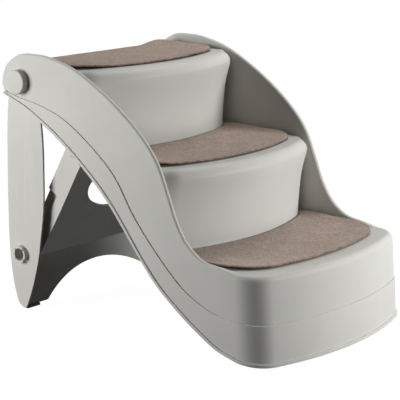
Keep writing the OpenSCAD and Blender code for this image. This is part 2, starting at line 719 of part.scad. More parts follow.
stair_shell();
tread_mat_bottom();
tread_mat_middle();
tread_mat_top();
mat_grips_bottom();
mat_grips_middle();
mat_grips_top();
hinge_cap_left();
hinge_cap_right();
hinge_washer_left();
hinge_washer_right();
hinge_retainer_left();
hinge_retainer_right();
front_feet();
rear_leg();
leg_foot_left();
leg_foot_right();
brace();
pivot_washer_left();
pivot_washer_right();
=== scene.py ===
"""Folding pet stairs: a satin moulded shell, its leg and brace, and carpet mats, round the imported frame.

Lengths are in millimetres, measured from the rear end of the side walls; point() turns them into the
frame's metres, whose origin lies on the floor under the middle of the object.
"""

from math import asin, atan2, cos, exp, pi, radians, sin, sqrt, tan

import bmesh
import bpy
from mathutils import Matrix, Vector


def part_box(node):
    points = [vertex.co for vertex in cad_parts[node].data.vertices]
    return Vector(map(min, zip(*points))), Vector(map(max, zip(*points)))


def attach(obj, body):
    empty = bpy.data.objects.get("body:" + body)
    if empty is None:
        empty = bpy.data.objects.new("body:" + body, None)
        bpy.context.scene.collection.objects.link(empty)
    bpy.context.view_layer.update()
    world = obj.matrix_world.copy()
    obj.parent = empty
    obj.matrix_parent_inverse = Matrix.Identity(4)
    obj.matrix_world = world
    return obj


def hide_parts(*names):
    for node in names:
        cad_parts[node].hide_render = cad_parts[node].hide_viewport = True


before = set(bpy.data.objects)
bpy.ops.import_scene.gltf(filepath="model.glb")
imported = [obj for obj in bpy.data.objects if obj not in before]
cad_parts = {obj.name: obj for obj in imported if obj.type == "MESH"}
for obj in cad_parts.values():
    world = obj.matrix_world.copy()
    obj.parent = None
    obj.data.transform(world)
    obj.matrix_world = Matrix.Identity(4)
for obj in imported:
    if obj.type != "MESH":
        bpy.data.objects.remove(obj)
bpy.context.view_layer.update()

# Driving sizes that the frame's solids share
OVERALL_L, OVERALL_H, BODY_W = 671, 508, 457
SIDE_T, SKIN_T, BAND_OUT = 9, 4, 2
TREAD_BOTTOM_Z, RISE, RUN, MIDDLE_NOSE_X = 165.5, 158.5, 196, 461
RISER_ARC_R, FRONT_ARC_R, BLOCK_CORNER_R, FRONT_CORNER_R = 480, 600, 60, 56
HINGE_X, HINGE_Z, PIVOT_X, PIVOT_Z = 50, 453, 36, 111

# The visible surface's own edges: nosings, coves, the lip along the floor and the band above it
BOTTOM_NOSE_X, NOSE_R, BOTTOM_NOSE_R, COVE_R = 656, 20, 12, 12
LIP_OUT, LIP_H, LIP_LIFT, LIP_RISE = 3, 6.5, 3.6, 6
BAND_TOP_Z, BAND_RISE = 78.5, 4.5

# A riser turns in under its nosing by the bulge, which fades out downwards, and then hardly leans.
# Toward the side walls it keeps only a part of this and stands nearly upright.
RISER_BULGE, BULGE_FADE, BULGE_POWER, RISER_TILT, SIDE_UPRIGHT = 12.5, 36, 1.35, 0.06, 0.75

HALF_W = BODY_W / 2
WALL_IN = HALF_W - SIDE_T
SKIN_IN = HALF_W - SKIN_T
TREAD_MIDDLE_Z = TREAD_BOTTOM_Z + RISE
TREAD_TOP_Z = TREAD_MIDDLE_Z + RISE
TOP_NOSE_X = MIDDLE_NOSE_X - RUN
REAR_FLANGE_X, REAR_FLANGE_H = 14, 40
FRONT_OUTLINE = (BOTTOM_NOSE_X, HALF_W, FRONT_CORNER_R, FRONT_ARC_R)
FRONT_RUN = OVERALL_L - LIP_OUT - BAND_OUT - BOTTOM_NOSE_X
FRONT_SLOPE = atan2(FRONT_RUN, TREAD_BOTTOM_Z - BOTTOM_NOSE_R - LIP_LIFT)
# How far solids run past a face that they cut or join
CUT = 1
# Vertices closer than this, in metres, are one
WELD = 1e-7


def point(x, y, z):
    """A place of the object in the frame's metres."""
    return Vector((x - OVERALL_L / 2, y, z)) / 1000


# Small geometry helpers


def spline(points, steps):
    """Points on a smooth curve through the given points, steps to each stretch."""
    ends = [points[0]] + points + [points[-1]]
    out = []
    for a, b, c, d in zip(ends, ends[1:], ends[2:], ends[3:]):
        for j in range(steps):
            t = j / steps
            square = (2 * a - 5 * b + 4 * c - d) * t**2
            cube = (3 * b - a - 3 * c + d) * t**3
            out.append((2 * b + (c - a) * t + square + cube) / 2)
    return out + [points[-1]]


def scaled(shares):
    """Points of a side view from shares of the overall length and height."""
    return [Vector((s[0] * OVERALL_L, s[1] * OVERALL_H)) for s in shares]


def lengths_along(points):
    """The length of the way from the first point to each of the points."""
    lengths = [0.0]
    for a, b in zip(points, points[1:]):
        lengths.append(lengths[-1] + (b - a).length)
    return lengths


def resample(curve, keys, counts):
    """The curve between its points nearest to the keys, as counts of even steps to each stretch."""
    lengths = lengths_along(curve)

    def at(length):
        i = max(k for k in range(len(curve) - 1) if lengths[k] <= length or k == 0)
        step = lengths[i + 1] - lengths[i]
        return curve[i].lerp(curve[i + 1], min(1, (length - lengths[i]) / step) if step else 0)

    stops = [lengths[min(range(len(curve)), key=lambda k: (curve[k] - key).length)] for key in keys]
    out = [at(a + (b - a) * j / n) for a, b, n in zip(stops, stops[1:], counts) for j in range(n)]
    return out + [at(stops[-1])]


def smooth_step(t):
    """0 below 0, 1 above 1 and a soft step between."""
    t = min(1, max(0, t))
    return t * t * (3 - 2 * t)


def mesh_object(name, vertices, faces):
    """A piece from points in metres, its doubles merged and its faces turned outward."""
    mesh = bpy.data.meshes.new(name)
    mesh.from_pydata([tuple(v) for v in vertices], [], faces)
    mesh.validate()
    bm = bmesh.new()
    bm.from_mesh(mesh)
    bmesh.ops.remove_doubles(bm, verts=bm.verts, dist=WELD)
    bmesh.ops.recalc_face_normals(bm, faces=bm.faces)
    bm.to_mesh(mesh)
    bm.free()
    obj = bpy.data.objects.new(name, mesh)
    bpy.context.scene.collection.objects.link(obj)
    return obj


def ring_faces(rings, n, closed):
    """Faces over so many rings of n points each, and if closed from the last ring back to the first."""
    return [
        (k * n + i, k * n + (i + 1) % n, (k + 1) % rings * n + (i + 1) % n, (k + 1) % rings * n + i)
        for k in range(rings if closed else rings - 1)
        for i in range(n)
    ]


def loft(name, sections):
    """A closed solid skinned over closed sections of equally many points, capped at both ends."""
    n = len(sections[0])
    last = (len(sections) - 1) * n
    faces = ring_faces(len(sections), n, closed=False)
    faces += [tuple(range(n)), tuple(last + i for i in range(n))]
    return mesh_object(name, [p for s in sections for p in s], faces)


def closed_tube(name, rings):
    """A tube over rings of equally many points that runs back into itself."""
    faces = ring_faces(len(rings), len(rings[0]), closed=True)
    return mesh_object(name, [p for ring in rings for p in ring], faces)


def plate(name, outline, low, high):
    """An outline seen from above as a plate between two heights."""
    return loft(name, [[point(x, y, z) for x, y in outline] for z in (low, high)])


def box(name, x0, x1, y0, y1, z0, z1):
    """A straight block between two places along each axis."""
    return plate(name, ((x0, y0), (x1, y0), (x1, y1), (x0, y1)), z0, z1)


def circle(radius, steps):
    """Points once round a circle about the origin."""
    return [(radius * cos(2 * pi * i / steps), radius * sin(2 * pi * i / steps)) for i in range(steps)]


def cylinder(name, x, z, y0, y1, radius, steps):
    """A round bar along y."""
    return loft(name, [[point(x + u, y, z + v) for u, v in circle(radius, steps)] for y in (y0, y1)])


def combine(obj, others, operation):
    """Joins to obj, or cuts from it, the other solids, which are then deleted."""
    for other in others:
        modifier = obj.modifiers.new("solid", "BOOLEAN")
        modifier.object, modifier.operation, modifier.solver = other, operation, "MANIFOLD"
        with bpy.context.temp_override(object=obj, active_object=obj):
            bpy.ops.object.modifier_apply(modifier=modifier.name)
        bpy.data.objects.remove(other)


NORMAL_WEIGHT = 80


def finish_solid(obj, surface, edge=0.0, segments=2, angle=32):
    """Bevels the edges sharper than the angle, smooths the rest and gives the material."""
    obj.data.materials.clear()
    obj.data.materials.append(surface)
    if edge:
        bevel = obj.modifiers.new("edges", "BEVEL")
        bevel.width, bevel.segments, bevel.limit_method = edge / 1000, segments, "ANGLE"
        bevel.angle_limit = radians(angle)
    obj.data.polygons.foreach_set("use_smooth", [True] * len(obj.data.polygons))
    with bpy.context.temp_override(object=obj, active_object=obj, selected_editable_objects=[obj]):
        bpy.ops.object.shade_smooth_by_angle(angle=radians(angle))
    weighted = obj.modifiers.new("normals", "WEIGHTED_NORMAL")
    weighted.keep_sharp = True
    weighted.weight = NORMAL_WEIGHT


# Outlines seen from above: straight sides, round corners and a shallow front arc


def corner_x(nose_x, w, corner, arc):
    """The x at which the straight side ends and the corner starts."""
    return nose_x - arc + sqrt((arc - corner) ** 2 - (w - corner) ** 2)


def front_stations(nose_x, w, corner, arc, corner_steps, arc_steps):
    """(x, y, outward x, outward y, turn) round the front from the right side to the left."""
    cx, cy = corner_x(nose_x, w, corner, arc), w - corner
    turn = asin(cy / (arc - corner))
    out = []
    for i in range(corner_steps):
        a = -pi / 2 + (pi / 2 - turn) * i / corner_steps
        out.append((cx + corner * cos(a), -cy + corner * sin(a), cos(a), sin(a), a))
    for i in range(arc_steps + 1):
        a = -turn + 2 * turn * i / arc_steps
        out.append((nose_x - arc + arc * cos(a), arc * sin(a), cos(a), sin(a), a))
    return out + [(x, -y, nx, -ny, -a) for x, y, nx, ny, a in reversed(out[:corner_steps])]


def edge_x(y, nose_x, w, corner, arc):
    """The x of such an outline at the side distance y."""
    y = min(abs(y), w)
    cx, cy = corner_x(nose_x, w, corner, arc), w - corner
    if y <= arc * cy / (arc - corner):
        return nose_x - arc + sqrt(arc * arc - y * y)
    return cx + sqrt(max(0, corner * corner - (y - cy) ** 2))


# Band and lip rise toward the side walls once the corner has turned by this many degrees
CORNER_RISE_FROM = 20


def corner_rise(turn):
    """0 on the front and 1 where the corner meets the side wall."""
    start = radians(CORNER_RISE_FROM)
    return max(0, (abs(turn) - start) / (pi / 2 - start)) ** 2


def slope_out(z):
    """How far the bottom front has sloped out at the height z."""
    return max(0, TREAD_BOTTOM_Z - BOTTOM_NOSE_R - z) * tan(FRONT_SLOPE)


# Side views, as shares of the overall length and height
REAR_END_SHARES = [(0.012, 0.839), (0, 0.884), (0.012, 0.936), (0.034, 0.967), (0.080, 0.996), (0.134, 1)]
RIM_SHARES = [
    (0.186, 0.996), (0.270, 0.970), (0.338, 0.931), (0.431, 0.860), (0.523, 0.768), (0.588, 0.672),
    (0.629, 0.555), (0.655, 0.472), (0.691, 0.400), (0.742, 0.352), (0.800, 0.338),
]
LOW_EDGE_SHARES = [
    (0.012, 0.839), (0.080, 0.806), (0.153, 0.756), (0.231, 0.694), (0.305, 0.623), (0.373, 0.549),
    (0.430, 0.473), (0.485, 0.386), (0.532, 0.310), (0.583, 0.236), (0.632, 0.181), (0.690, 0.126),
    (0.745, 0.081), (0.800, 0.043),
]
CREASE_SHARES = [
    (0.014, 0.850), (0.080, 0.831), (0.165, 0.810), (0.247, 0.774), (0.339, 0.702), (0.436, 0.596),
    (0.508, 0.460), (0.598, 0.330), (0.688, 0.229), (0.783, 0.174),
]
# Places that belong together on rim, crease and low edge, and the steps between them up to the wall's end
KEY_SHARES = [
    ((0.012, 0.839), (0.014, 0.850), (0.012, 0.839)),
    ((0, 0.884), (0.040, 0.842), (0.020, 0.835)),
    ((0.080, 0.996), (0.124, 0.820), (0.080, 0.806)),
    ((0.270, 0.970), (0.223, 0.785), (0.180, 0.736)),
    ((0.431, 0.860), (0.339, 0.702), (0.305, 0.623)),
    ((0.588, 0.672), (0.508, 0.460), (0.460, 0.426)),
    ((0.655, 0.472), (0.598, 0.330), (0.532, 0.310)),
    ((0.742, 0.352), (0.688, 0.229), (0.640, 0.174)),
    ((0.800, 0.338), (0.795, 0.171), (0.770, 0.062)),
]
KEY_COUNTS = [8, 12, 14, 14, 14, 12, 10, 6, 8]
CURVE_STEPS, CORNER_STEPS, FRONT_STEPS = 12, 14, 40
WALL_END_X = corner_x(*FRONT_OUTLINE)

# The rounded edge is a slim rim on the walls and grows into the nosing, and the wall into a strip, over
# so many steps, of which the first lie before the wall's end
RIM_R, STRIP_W = 4.2, 30
GROW_FROM, GROW_STEPS = 14, 26


def nosing(step):
    """(radius, thickness) of the rounded edge, so many steps from the side wall's end round the corner."""
    grow = smooth_step((step + GROW_FROM) / GROW_STEPS)
    return RIM_R + (BOTTOM_NOSE_R - RIM_R) * grow, SIDE_T + (STRIP_W - SIDE_T) * grow


def wall_stations():
    """(rim, crease, low edge, inward from the rim, nosing radius, thickness) along a side wall."""
    ends = (
        Vector((WALL_END_X, TREAD_BOTTOM_Z)),
        Vector((WALL_END_X + slope_out(BAND_TOP_Z), BAND_TOP_Z + BAND_RISE)),
        Vector((WALL_END_X + slope_out(LIP_LIFT), LIP_LIFT + LIP_RISE)),
    )
    shares = (REAR_END_SHARES + RIM_SHARES, CREASE_SHARES, LOW_EDGE_SHARES)
    rows = []
    for k, (line, end) in enumerate(zip(shares, ends)):
        keys = [scaled([row[k]])[0] for row in KEY_SHARES] + [end]
        rows.append(resample(spline(scaled(line) + [end], CURVE_STEPS), keys, KEY_COUNTS))
    rim, last = rows[0], len(rows[0]) - 1
    stations = []
    for i, (top, crease, low) in enumerate(zip(*rows)):
        along = rim[min(i + 1, last)] - rim[max(i - 1, 0)]
        inward = Vector((along.y, -along.x)).normalized()
        stations.append((top, crease, low, inward, *nosing(i - last)))
    return stations


# Points of the section, outward and up: the lip's from the low edge, the crease's from its own line
LIP_Y = BAND_OUT + LIP_OUT
LIP_POINTS = (
    (LIP_Y - 1.5, 0), (LIP_Y - 0.4, 0.4), (LIP_Y, 1.5), (LIP_Y, LIP_H - 1.2),
    (LIP_Y - 0.4, LIP_H - 0.3), (BAND_OUT + 0.5, LIP_H + 0.2), (BAND_OUT, LIP_H + 1.2),
)
FACE_FROM = 3.2
CREASE_POINTS = (
    (BAND_OUT, -1.6), (BAND_OUT - 0.5, -0.6), (-0.5, -0.2), (-0.7, 0.6), (-0.3, 1.9), (0, FACE_FROM),
)
FACE_SHARES = (0.25, 0.5, 0.75)
ROUND_STEPS, INNER_STEPS = 8, 4
# The least flat between the two rounds on top, and the chamfer inside the low edge
TOP_FLAT, FOOT_CHAMFER = 0.2, 1


def skirt_section(top, crease, low, outward, down, radius, thick, lift):
    """One closed section through wall or front: lip, band, crease, face, rounded top and inner face.

    top, crease and low are points on the outer face, lift goes from the low edge to the crease."""
    face = (top + down * radius - crease).normalized()
    start, end = crease + face * FACE_FROM, top + down * radius
    section = [low - outward * (thick - FOOT_CHAMFER)]
    section += [low + outward * a + lift * b for a, b in LIP_POINTS]
    section += [crease + outward * a + face * b for a, b in CREASE_POINTS]
    section += [start.lerp(end, share) for share in FACE_SHARES]
    centre = top + down * radius - outward * radius
    for i in range(ROUND_STEPS + 1):
        a = pi / 2 * i / ROUND_STEPS
        section.append(centre + outward * (radius * cos(a)) - down * (radius * sin(a)))
    inner = min(RIM_R, thick - radius - TOP_FLAT)
    centre = top + down * inner - outward * (thick - inner)
    for i in range(INNER_STEPS + 1):
        a = pi / 2 * i / INNER_STEPS
        section.append(centre - outward * (inner * sin(a)) - down * (inner * cos(a)))
    section.append((top + down * inner).lerp(low, 0.5) - outward * thick)
    section.append(low - outward * thick + lift * FOOT_CHAMFER)
    return section


# The lip is drawn smaller where crease and low edge run together at the rear, and there it points this way
LIP_ROOM = LIP_H + 4
REAR_LIFT = Vector((0.2, 1)).normalized()


def wall_sections(stations, side):
    """Sections of one side wall from its rear end to the front corner."""
    sections = []
    for top, crease, low, inward, radius, thick in stations:
        rise = crease - low
        lift = rise.normalized() if rise.length > 1 else REAR_LIFT
        sections.append(
            skirt_section(
                *(Vector((p.x, side * HALF_W, p.y)) for p in (top, crease, low)),
                Vector((0, side, 0)),
                Vector((inward.x, 0, inward.y)),
                radius,
                thick,
                Vector((lift.x, 0, lift.y)) * min(1, rise.length / LIP_ROOM),
            )
        )
    return sections


def front_sections():
    """Sections round the bottom front, from the right wall's end to the left's."""
    around = front_stations(*FRONT_OUTLINE, CORNER_STEPS, FRONT_STEPS)
    down = Vector((0, 0, -1))
    sections = []
    for i, (x, y, nx, ny, turn) in enumerate(around):
        rise = corner_rise(turn)
        top = Vector((x, y, TREAD_BOTTOM_Z))
        crease = Vector((x + slope_out(BAND_TOP_Z), y, BAND_TOP_Z + BAND_RISE * rise))
        low = Vector((x + slope_out(LIP_LIFT), y, LIP_LIFT + LIP_RISE * rise))
        lift = (crease - low).normalized()
        radius, thick = nosing(min(i, len(around) - 1 - i))
        sections.append(skirt_section(top, crease, low, Vector((nx, ny, 0)), down, radius, thick, lift))
    return sections


def skirt():
    """Side walls and front in one band: lip, crease and rounded edge run round without a break."""
    stations = wall_stations()
    right, left = wall_sections(stations, -1), wall_sections(stations, 1)
    sections = right[:-1] + front_sections() + left[-2::-1]
    return loft("skirt", [[point(*p) for p in s] for s in sections])


# The two upper blocks: riser with its cove, and a nosing that tightens where it meets the walls
BLOCK_W = SKIN_IN - CUT / 2
BLOCK_DEPTH, EDGE_R, COVE_POWER = 118, 3, 0.7
# The turn at which nosings tighten and risers get upright, and over how much turn, in degrees
TIGHT_FROM, TIGHT_OVER = 55, 32
UPRIGHT_FROM, UPRIGHT_OVER = 45, 35
BLOCK_CORNER_STEPS, BLOCK_ARC_STEPS = 16, 36
COVE_STEPS, RISER_STEPS, NOSE_STEPS = 6, 14, 10


def lean_back(top, z):
    """How far a riser stands behind its nosing at the height z."""
    down = max(0, top - NOSE_R - z)
    return RISER_BULGE * (1 - exp(-((down / BULGE_FADE) ** BULGE_POWER))) + RISER_TILT * down


def shoulder_x(nose_x):
    """The x at which an upper block's straight sides end."""
    return corner_x(nose_x, BLOCK_W, BLOCK_CORNER_R, RISER_ARC_R)


def turned(turn, start, over):
    """From 0 to 1 while the outline turns from start by over, in degrees, on either side."""
    return smooth_step((abs(turn) - radians(start)) / radians(over))


def riser_column(station, top, inset):
    """Points of one station from a riser's foot up over the nosing; inset leaves out the cove."""
    x, y, nx, ny, turn = station
    foot, knee = top - RISE, top - NOSE_R
    share = 1 - SIDE_UPRIGHT * turned(turn, UPRIGHT_FROM, UPRIGHT_OVER)
    tight = turned(turn, TIGHT_FROM, TIGHT_OVER)
    radius = (NOSE_R - inset) * (1 - tight) + EDGE_R * tight

    def at(z, out=0.0):
        return x - share * lean_back(top, z) + nx * out, y + ny * out, z

    if inset:
        column = [(*at(foot)[:2], foot - SKIN_T - CUT)]
    else:
        cove = COVE_R * max(0, cos(turn)) ** COVE_POWER
        column = [(*at(foot, cove)[:2], foot - SKIN_T / 2)]
        for i in range(COVE_STEPS + 1):
            a = pi / 2 * i / COVE_STEPS
            column.append(at(foot + COVE_R * (1 - cos(a)), cove * (1 - sin(a))))
    for i in range(1, RISER_STEPS):
        column.append(at(foot + COVE_R + (knee - foot - COVE_R) * i / RISER_STEPS))
    for i in range(NOSE_STEPS + 1):
        a = pi / 2 * i / NOSE_STEPS
        column.append(at(top - inset - radius + radius * sin(a), -radius * (1 - cos(a))))
    return column


def block(name, nose_x, top, inset=0.0):
    """An upper block as a closed solid; inset makes the hollow inside it."""
    w, rear_x = BLOCK_W - inset, nose_x - BLOCK_DEPTH
    outline = (nose_x - inset, w, BLOCK_CORNER_R - inset, RISER_ARC_R - inset)
    around = front_stations(*outline, BLOCK_CORNER_STEPS, BLOCK_ARC_STEPS)
    stations = [(rear_x, -w, 0, -1, -pi / 2), *around, (rear_x, w, 0, 1, pi / 2)]
    levels = zip(*(riser_column(station, top, inset) for station in stations))
    return loft(name, [[point(*p) for p in level] for level in levels])


# How far behind the front corners the bottom flat and the hollows under it end
FLAT_BACK, FRONT_HOLLOW_BACK, WIDE_HOLLOW_BACK, HOLLOW_BACK = 50, 40, 56, 20


def slab(x0, x1, top):
    """The flat of an upper tread, from wall to wall."""
    return box("flat", x0, x1, -WALL_IN - CUT, WALL_IN + CUT, top - SKIN_T, top)


def bottom_flat():
    """The bottom tread's flat, inside the nosing and the walls."""
    rear_x, reach_x, w = MIDDLE_NOSE_X - BLOCK_DEPTH, WALL_END_X - FLAT_BACK, WALL_IN + CUT
    back = BOTTOM_NOSE_R + CUT
    around = front_stations(*FRONT_OUTLINE, CORNER_STEPS, FRONT_STEPS)
    outline = [(rear_x, -w), (reach_x, -w)]
    outline += [(x - nx * back, y - ny * back) for x, y, nx, ny, _ in around]
    outline += [(reach_x, w), (rear_x, w)]
    return plate("flat", outline, TREAD_BOTTOM_Z - SKIN_T, TREAD_BOTTOM_Z)


HOLLOW_STEPS, HOLLOW_CORNER_STEPS, HOLLOW_ARC_STEPS = 8, 10, 24
# How far the hollow under a tread reaches past the foot of its riser
FOOT_REACH = 12


def hollow(x1, w, top):
    """The open space behind x1 and under a height, from the rear flange on."""
    return box("hollow", REAR_FLANGE_X + SKIN_T, x1, -w, w, -CUT, top)


def front_hollow():
    """The hollow behind the bottom front, a skin thinner than it all round, up into the nosing."""
    knee, radius = TREAD_BOTTOM_Z - BOTTOM_NOSE_R, BOTTOM_NOSE_R - SKIN_T
    levels = [(-CUT, 0), (knee, 0)]
    for i in range(1, HOLLOW_STEPS + 1):
        a = pi / 2 * i / HOLLOW_STEPS
        levels.append((knee + radius * sin(a), radius * (1 - cos(a))))
    outline = [size - SKIN_T for size in FRONT_OUTLINE]
    around = front_stations(*outline, HOLLOW_CORNER_STEPS, HOLLOW_ARC_STEPS)[::-1]
    x0 = WALL_END_X - FRONT_HOLLOW_BACK
    sections = []
    for z, back in levels:
        out = slope_out(z)
        ring = [(x0, back - SKIN_IN), (x0, SKIN_IN - back)]
        ring += [(x + out - nx * back, y - ny * back) for x, y, nx, ny, _ in around]
        sections.append([point(x, y, z) for x, y in ring])
    return loft("hollow", sections)


def block_hollows(nose_x, top):
    """The hollow in an upper block, and behind it the rest of the space under its tread."""
    shoulder = shoulder_x(nose_x)
    foot_x = shoulder - (1 - SIDE_UPRIGHT) * lean_back(top, top - RISE)
    return [
        block("hollow", nose_x, top, SKIN_T),
        hollow(foot_x + FOOT_REACH, SKIN_IN, top - NOSE_R),
        hollow(shoulder - SKIN_T, SKIN_IN, top - SKIN_T),
    ]


# Ribs under the treads, and how far they start in front of a riser and end behind a nosing
RIB_T, RIB_H, RIB_PITCH, OUTER_RIB_BACK = 3, 9, BODY_W / 5, 24
RIB_START, RIB_END = 6, 8


def ribs(x0, x1, top):
    """Ribs under a tread: five along it, of which the outer two are shorter, and one across."""
    low, high = top - SKIN_T - RIB_H, top - SKIN_T + CUT
    parts = []
    for i in range(-2, 3):
        y, end = i * RIB_PITCH, x1 - (OUTER_RIB_BACK if abs(i) == 2 else 0)
        parts.append(box("rib", x0, end, y - RIB_T / 2, y + RIB_T / 2, low, high))
    middle = (x0 + x1) / 2
    parts.append(box("rib", middle - RIB_T / 2, middle + RIB_T / 2, -WALL_IN, WALL_IN, low, high))
    return parts


KEEPER_W, KEEPER_RIB_H, KEEPER_REACH, KEEPER_GAP = 240, 14, 10, 0.4
KEEPER_TOP_Z = TREAD_MIDDLE_Z - SKIN_T + CUT / 2
BRACE_A, BRACE_FRONT = radians(60), 32
BRACE_TOE_X = PIVOT_X + (BRACE_FRONT + (KEEPER_TOP_Z - PIVOT_Z) * cos(BRACE_A)) / sin(BRACE_A)


def keeper():
    """The ribbed ledge that holds the brace's top edge from behind."""
    x0, x1 = BRACE_TOE_X + KEEPER_GAP, TOP_NOSE_X - KEEPER_REACH
    parts = [box("ledge", x0, x1, -KEEPER_W / 2, KEEPER_W / 2, KEEPER_TOP_Z - SKIN_T, KEEPER_TOP_Z)]
    low, high = KEEPER_TOP_Z - KEEPER_RIB_H, KEEPER_TOP_Z - CUT
    for i in (-1, 0, 1):
        y = i * RIB_PITCH
        parts.append(box("rib", x0, x1, y - RIB_T / 2, y + RIB_T / 2, low, high))
    return parts


FOOT_L, FOOT_W, FOOT_H = 34, 26, 5
OUTER_FOOT_BACK, SHELF_BACK = 26, 4


def foot_shelves():
    """Shelves inside the front skirt, over the rubber feet that the frame has."""
    low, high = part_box("front_feet")
    front = high.x * 1000 + OVERALL_L / 2
    places = ((front, HALF_W / 4), (front - OUTER_FOOT_BACK, HALF_W - FRONT_CORNER_R))
    parts = []
    for side in (-1, 1):
        for x, y in places:
            across = (side * y - FOOT_L / 2, side * y + FOOT_L / 2)
            parts.append(box("shelf", x - FOOT_W - SHELF_BACK, x, *across, FOOT_H, FOOT_H + SKIN_T))
    return parts


BORE_R, BORE_SIDES = 11.1, 64


def shell():
    """The whole moulding: skirt, treads and risers, the open underside, and what stiffens it."""
    body = skirt()
    flange = (REAR_FLANGE_X, REAR_FLANGE_X + SKIN_T, -WALL_IN - CUT, WALL_IN + CUT)
    solids = [
        bottom_flat(),
        block("middle", MIDDLE_NOSE_X, TREAD_MIDDLE_Z),
        block("top", TOP_NOSE_X, TREAD_TOP_Z),
        slab(TOP_NOSE_X - BLOCK_DEPTH, shoulder_x(MIDDLE_NOSE_X), TREAD_MIDDLE_Z),
        slab(REAR_FLANGE_X, shoulder_x(TOP_NOSE_X), TREAD_TOP_Z),
        box("flange", *flange, TREAD_TOP_Z - REAR_FLANGE_H, TREAD_TOP_Z - SKIN_T / 2),
    ]
    combine(body, solids, "UNION")
    rear = (-CUT, REAR_FLANGE_X + SKIN_T + CUT, -SKIN_IN, SKIN_IN)
    hollows = [
        front_hollow(),
        hollow(WALL_END_X - WIDE_HOLLOW_BACK, SKIN_IN, TREAD_BOTTOM_Z - SKIN_T),
        hollow(WALL_END_X - HOLLOW_BACK, HALF_W - BOTTOM_NOSE_R, TREAD_BOTTOM_Z - SKIN_T),
        hollow(WALL_END_X - HOLLOW_BACK, SKIN_IN, TREAD_BOTTOM_Z - BOTTOM_NOSE_R),
        *block_hollows(MIDDLE_NOSE_X, TREAD_MIDDLE_Z),
        *block_hollows(TOP_NOSE_X, TREAD_TOP_Z),
        box("rear", *rear, -CUT, TREAD_TOP_Z - REAR_FLANGE_H),
    ]
    combine(body, hollows, "DIFFERENCE")
    back = NOSE_R + RIB_END
    extras = ribs(TOP_NOSE_X + RIB_START, MIDDLE_NOSE_X - back, TREAD_MIDDLE_Z)
    extras += ribs(MIDDLE_NOSE_X + RIB_START, BOTTOM_NOSE_X - back, TREAD_BOTTOM_Z)
    extras += ribs(REAR_FLANGE_X + SKIN_T / 2, TOP_NOSE_X - back, TREAD_TOP_Z)
    combine(body, extras + keeper() + foot_shelves(), "UNION")
    reach = HALF_W + SIDE_T
    combine(body, [cylinder("bore", HINGE_X, HINGE_Z, -reach, reach, BORE_R, BORE_SIDES)], "DIFFERENCE")
    return body


# Materials: each takes its grain from object coordinates, so the pattern stays on the piece

# The colour sockets of a mix node, by number because its sockets share their names
MIX_A, MIX_B, MIX_COLOUR = 6, 7, 2
WHITE = (1, 1, 1, 1)


def material(name, colour, roughness):
    """A new material with its node tree and its shader."""
    made = bpy.data.materials.new(name)
    made.use_nodes = True
    tree = made.node_tree
    shader = tree.nodes["Principled BSDF"]
    shader.inputs["Base Color"].default_value = (*colour, 1)
    shader.inputs["Roughness"].default_value = roughness
    return made, tree, shader


def node(tree, kind, settings=(), **inputs):
    """A new node with its settings and with values for its inputs, an underscore standing for a space."""
    made = tree.nodes.new(kind)
    for key, value in dict(settings).items():
        setattr(made, key, value)
    for key, value in inputs.items():
        made.inputs[key.replace("_", " ")].default_value = value
    return made


def coordinates(tree):
    """Where a point lies on its own piece, in metres."""
    return tree.nodes.new("ShaderNodeTexCoord").outputs["Object"]


def noise(tree, scale, detail, roughness=0.5, stretch=(1, 1, 1)):
    """Cloudy noise from 0 to 1, with scale in waves to a metre; stretch multiplies it along x, y and z."""
    made = node(tree, "ShaderNodeTexNoise", Scale=scale, Detail=detail, Roughness=roughness)
    place = node(tree, "ShaderNodeMapping", Scale=stretch)
    tree.links.new(coordinates(tree), place.inputs["Vector"])
    tree.links.new(place.outputs["Vector"], made.inputs["Vector"])
    return made.outputs["Fac"]


def cells(tree, scale, randomness):
    """The distance from the middle of each small cell."""
    made = node(tree, "ShaderNodeTexVoronoi", {"feature": "F1"}, Scale=scale, Randomness=randomness)
    tree.links.new(coordinates(tree), made.inputs["Vector"])
    return made.outputs["Distance"]


def ramp(tree, value, stops):
    """The value turned into colours; each stop is (place, colour)."""
    made = tree.nodes.new("ShaderNodeValToRGB")
    tree.links.new(value, made.inputs["Fac"])
    elements = made.color_ramp.elements
    while len(elements) < len(stops):
        elements.new(0.5)
    for element, (place, colour) in zip(elements, stops):
        element.position = place
        element.color = (*colour, 1)
    return made.outputs["Color"]


def bump(tree, shader, height, distance, strength, over=None):
    """Adds a relief to the shader, over another relief if given; distance is in metres."""
    made = node(tree, "ShaderNodeBump", Strength=strength, Distance=distance)
    tree.links.new(height, made.inputs["Height"])
    if over:
        tree.links.new(over, made.inputs["Normal"])
    tree.links.new(made.outputs["Normal"], shader.inputs["Normal"])
    return made.outputs["Normal"]


def shade(colour, factor):
    """The colour darker or lighter by a factor."""
    return tuple(c * factor for c in colour)


def grey(tone):
    """A neutral colour of that tone."""
    return (tone, tone, tone)


PLASTIC = (0.565, 0.56, 0.53)


